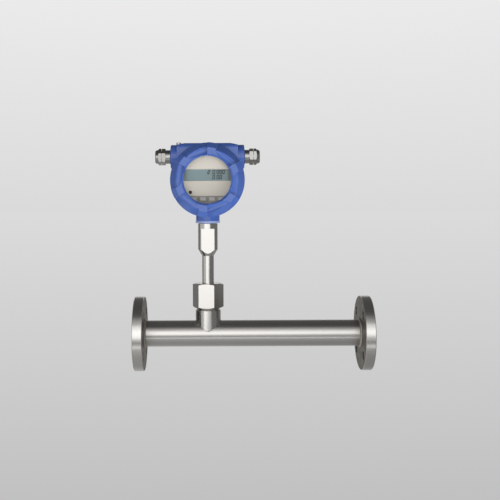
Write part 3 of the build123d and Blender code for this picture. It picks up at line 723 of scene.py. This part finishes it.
def socket_head(radius, top, flats, depth, edge):
    """A round head with a chamfer and a hexagon socket."""
    half = flats / 2
    return [
        (radius, 0),
        (radius, top - edge),
        (radius - edge, top),
        (SOCKET_MOUTH * half, top),
        (half, top - SOCKET_START, 6),
        (half, top - depth, 6),
    ]


def earth_screw():
    """A screw with a hexagon socket over its washer on the roof."""
    low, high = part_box("earth_screw")
    base = Vector(((low.x + high.x) / 2, (low.y + high.y) / 2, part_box("earth_washer")[1].z))
    radius = (high.x - low.x) / 2
    points, faces = [], []
    rows = socket_head(radius, high.z - base.z, flats=4 * MM, depth=2.2 * MM, edge=0.6 * MM)
    turned_screw(points, faces, base, AXES["z"], rows)
    shank = [(SHANK_RADIUS, -SHANK_OVERLAP), (SHANK_RADIUS, base.z - low.z)]
    turned_screw(points, faces, base, -AXES["z"], shank)
    piece = add_piece("earth_screw_socket", points, faces, "head", "screw_steel", smooth=False)
    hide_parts("earth_screw")


earth_screw()


# Light

SKY = (  # degrees above the horizon, level
    (-90, 0.45),
    (-20, 0.545),
    (0, 0.704),
    (14, 0.83),
    (18, 0.62),
    (24, 0.30),
    (32, 0.13),
    (90, 0.08),
)


def world():
    """A pale band round the horizon under a dark ceiling."""
    tree = Tree(bpy.data.worlds.new("studio"))
    bpy.context.scene.world = tree.block
    direction = tree.node("ShaderNodeTexCoord", output="Generated")
    height = tree.node("ShaderNodeSeparateXYZ", {0: direction}, output="Z")
    stops = [((math.sin(math.radians(degrees)) + 1) / 2, level) for degrees, level in SKY]
    colour = tree.ramp(tree.spread(height, 0, 1, -1, 1), stops)
    tree.link(colour, tree.nodes["Background"].inputs["Color"])


FLOOR_Z = -1.2
FLOOR_RADIUS = 150.0
FLOOR_BASE = 0.05
NEAR_FLOOR = (1.2, 2.4)
# Painted shade on the near floor, growing towards the right.
RIGHT_PAINTED_SHADE = 0.3
DIM_REACH = 0.5
# The low levels close to the set are a painted shadow under it.
FLOOR_GLOW = (  # metres out, level
    (0.1, 0.35),
    (0.45, 0.36),
    (1.0, 0.46),
    (2.57, 0.52),
    (4.55, 0.58),
    (10.7, 0.64),
    (30.0, 0.68),
    (90.0, 0.697),
)


def stage_mesh(name, points, faces, base, glow):
    """A floor or card with a base level and a level, or a ramp of levels, that it shows of its own."""
    mesh = bpy.data.meshes.new(name)
    mesh.from_pydata(points, [], faces)
    shown = bpy.data.objects.new(name, mesh)
    bpy.context.scene.collection.objects.link(shown)
    tree = new_material(name, Roughness=1.0, Specular_IOR_Level=0.0, Base_Color=(base, base, base, 1))
    tree.set(Emission_Color=glow(tree) if callable(glow) else (glow, glow, glow, 1), Emission_Strength=1.0)
    mesh.materials.append(tree.block)
    return shown


def floor_glow(tree):
    """The floor's level by how far out a point lies, low under the set as a painted shadow; near the set,
    painted shade makes it fall off to the right.
    """
    spot = tree.place()
    sides = [tree.node("ShaderNodeSeparateXYZ", {0: spot}, output=axis) for axis in "XY"]
    away = tree.math("MAXIMUM", *[tree.math("ABSOLUTE", side) for side in sides])
    stops = [(reach / (reach + 1), level) for reach, level in FLOOR_GLOW]
    level = tree.ramp(tree.math("DIVIDE", away, tree.math("ADD", away, 1.0)), stops)
    near = tree.spread(away, 1, 0, *NEAR_FLOOR)
    # Painted shade: near the set the floor darkens towards the right.
    painted_shade = tree.math("MULTIPLY", near, tree.spread(sides[0], 0, RIGHT_PAINTED_SHADE, 0, DIM_REACH))
    return tree.mix(painted_shade, level, (0, 0, 0, 1))


def floor():
    """A plain pale floor, well below the held part."""
    count = 96
    rim = [2 * math.pi * i / count for i in range(count)]
    points = [(FLOOR_RADIUS * math.cos(a), FLOOR_RADIUS * math.sin(a), FLOOR_Z) for a in rim]
    stage_mesh("floor", points, [tuple(range(count))], FLOOR_BASE, floor_glow)


def out_there(azimuth, elevation, distance):
    """A place as seen from the stem: azimuth from the camera's side, to its right."""
    turn, lift = math.radians(azimuth), math.radians(elevation)
    flat = Vector((math.sin(turn), -math.cos(turn), 0)) * math.cos(lift)
    return Vector(stem_point) + (flat + Vector((0, 0, math.sin(lift)))) * distance


def softbox(name, place, width, height, level, tilt=0.0):
    """A soft panel that faces the stem; level is its brightness, where 1 is white paper."""
    lamp = bpy.data.lights.new(name, "AREA")
    lamp.shape = "RECTANGLE"
    lamp.size = width
    lamp.size_y = height
    lamp.energy = level * math.pi * width * height
    shown = bpy.data.objects.new(name, lamp)
    shown.location = place
    shown.rotation_mode = "QUATERNION"
    turned = Quaternion((0, 0, 1), math.radians(tilt))
    shown.rotation_quaternion = (place - Vector(stem_point)).to_track_quat("Z", "Y") @ turned
    shown.visible_camera = False
    bpy.context.scene.collection.objects.link(shown)
    return shown


CARD_BASE = 0.03
CARD_DISTANCE = 2.0
PANEL_DISTANCE = 2.3
KEY_TILT = 15.0
TOP_STRIPS = (  # elevation and height in degrees, level
    (33.5, 9, 0.85),
    (43, 10, 0.6),
    (53, 10, 0.3),
)


def side_card(name, start, end, low=-1.15, high=1.6):
    """A curved dark card round the set, from start to end degrees, which the camera doesn't see."""
    count = 24
    points = []
    for i in range(count + 1):
        turn = math.radians(start + (end - start) * i / count)
        for height in (low, high):
            x, y = stem_x + CARD_DISTANCE * math.sin(turn), -CARD_DISTANCE * math.cos(turn)
            points.append((x, y, height))
    faces = [(2 * i, 2 * i + 1, 2 * i + 3, 2 * i + 2) for i in range(count)]
    stage_mesh(name, points, faces, CARD_BASE, glow=0.19).visible_camera = False


def floor_card():
    """A dark strip on the floor under the key panel, which the camera doesn't see."""
    half, near, far, height = 3.0, -2.55, -4.0, FLOOR_Z + 0.01
    points = [(-half, near, height), (half, near, height), (half, far, height), (-half, far, height)]
    stage_mesh("floor_card", points, [(0, 1, 2, 3)], CARD_BASE, glow=0.22).visible_camera = False


world()
floor()
softbox("key_panel", out_there(-8, 10.5, PANEL_DISTANCE), width=3.1, height=1.5, level=0.95, tilt=KEY_TILT)
for number, (elevation, reach, level) in enumerate(TOP_STRIPS, 1):
    place = out_there(4, elevation, PANEL_DISTANCE)
    height = 2 * PANEL_DISTANCE * math.tan(math.radians(reach / 2))
    softbox(f"top_strip_{number}", place, 1.1, height, level, KEY_TILT)
softbox("floor_panel", out_there(0, -39, 2.0), width=2.6, height=0.62, level=0.85)
fill_panel = softbox("fill_panel", out_there(50, -32, 1.7), width=1.2, height=0.75, level=6.0)
fill_panel.visible_glossy = False
back_panel = softbox("back_panel", out_there(180, 5, PANEL_DISTANCE), width=2.4, height=1.2, level=0.8)
back_panel.visible_glossy = False
side_card("right_card", start=27, end=150)
side_card("left_card", start=-150, end=-100)
side_card("upper_left_card", start=-100, end=-45, low=0.35)
floor_card()


# Camera: level, 0.211 m above the pipe's axis

CAMERA = Vector((0.1344, -1.336, 0.211))
FOCAL_PX = 822.0
AXIS_PX = (216.0, 203.3)
ROLL = 0.26
PHOTO = 500.0


def camera():
    """The camera, with its axis off the picture's middle as in the photograph."""
    data = bpy.data.cameras.new("camera")
    data.sensor_width = 36.0
    data.lens = FOCAL_PX / PHOTO * data.sensor_width
    data.shift_x = (PHOTO / 2 - AXIS_PX[0]) / PHOTO
    data.shift_y = (AXIS_PX[1] - PHOTO / 2) / PHOTO
    shown = bpy.data.objects.new("camera", data)
    shown.location = CAMERA
    shown.rotation_euler = (math.radians(90), math.radians(ROLL), 0)
    bpy.context.scene.collection.objects.link(shown)
    bpy.context.scene.camera = shown


camera()
bpy.context.scene.view_settings.view_transform = "Standard"
